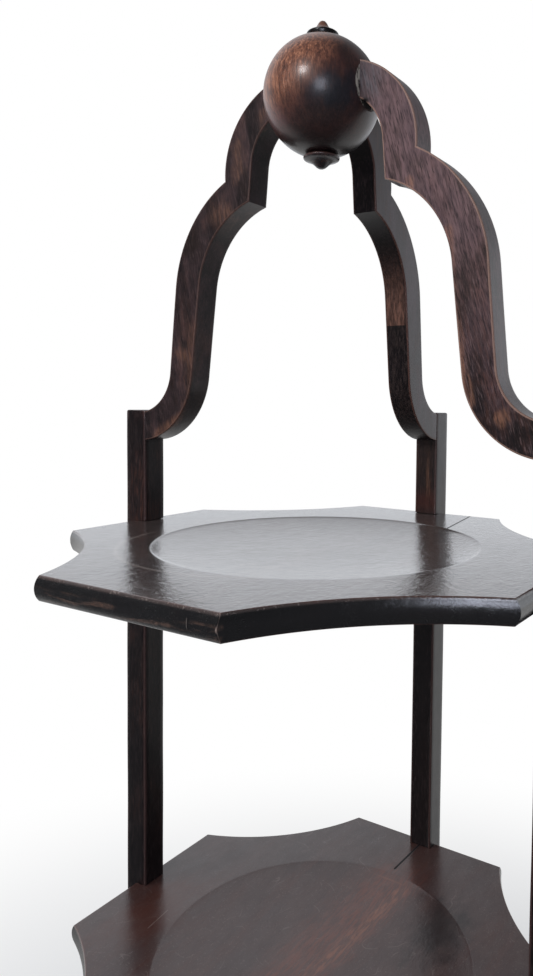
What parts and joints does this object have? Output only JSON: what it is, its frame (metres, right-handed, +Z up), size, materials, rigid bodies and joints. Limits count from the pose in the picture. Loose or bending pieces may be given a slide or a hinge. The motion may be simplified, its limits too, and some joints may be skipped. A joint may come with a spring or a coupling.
{
  "type": "tiered stand",
  "caption": "Wooden tiered stand: dished tiers with scooped corners held by square posts, whose cusped arched arms meet in a turned ball with a cap and a pendant.",
  "frame": {"origin": "on the floor, on the vertical axis of the tiers", "axes": "+Z up; -Y is the open front, +Y the back post, -X the left post, +X the right post"},
  "size_m": [0.2996, 0.2996, 0.8999],
  "materials": {
    "tier_wood": "dark stained hardwood, satin gloss, fine scratches",
    "post_wood": "near-black brown stained hardwood, satin",
    "arm_wood": "dark stained hardwood with reddish patches and worn edges",
    "ball_wood": "warm brown stained turned hardwood, polished",
    "dowel_wood": "bare beech",
    "plug_wood": "dark stained end grain",
    "screw_steel": "plain steel"
  },
  "bodies": {
    "root": {"ball": "ball_wood", "top_cap": "ball_wood", "pendant": "ball_wood", "arm_left": "arm_wood", "arm_back": "arm_wood", "arm_right": "arm_wood", "post_left": "post_wood", "post_back": "post_wood", "post_right": "post_wood", "front_leg": "post_wood", "tier_lower": "tier_wood", "tier_middle": "tier_wood", "tier_upper": "tier_wood", "dowel_left_ball": "dowel_wood", "dowel_left_post": "dowel_wood", "dowel_back_ball": "dowel_wood", "dowel_back_post": "dowel_wood", "dowel_right_ball": "dowel_wood", "dowel_right_post": "dowel_wood", "screw_left_lower": "screw_steel", "screw_left_middle": "screw_steel", "screw_left_upper": "screw_steel", "screw_back_lower": "screw_steel", "screw_back_middle": "screw_steel", "screw_back_upper": "screw_steel", "screw_right_lower": "screw_steel", "screw_right_middle": "screw_steel", "screw_right_upper": "screw_steel", "screw_front_lower": "screw_steel", "plug_left_lower": "plug_wood", "plug_left_middle": "plug_wood", "plug_left_upper": "plug_wood", "plug_back_lower": "plug_wood", "plug_back_middle": "plug_wood", "plug_back_upper": "plug_wood", "plug_right_lower": "plug_wood", "plug_right_middle": "plug_wood", "plug_right_upper": "plug_wood", "plug_front_lower": "plug_wood"}
  },
  "joints": []
}
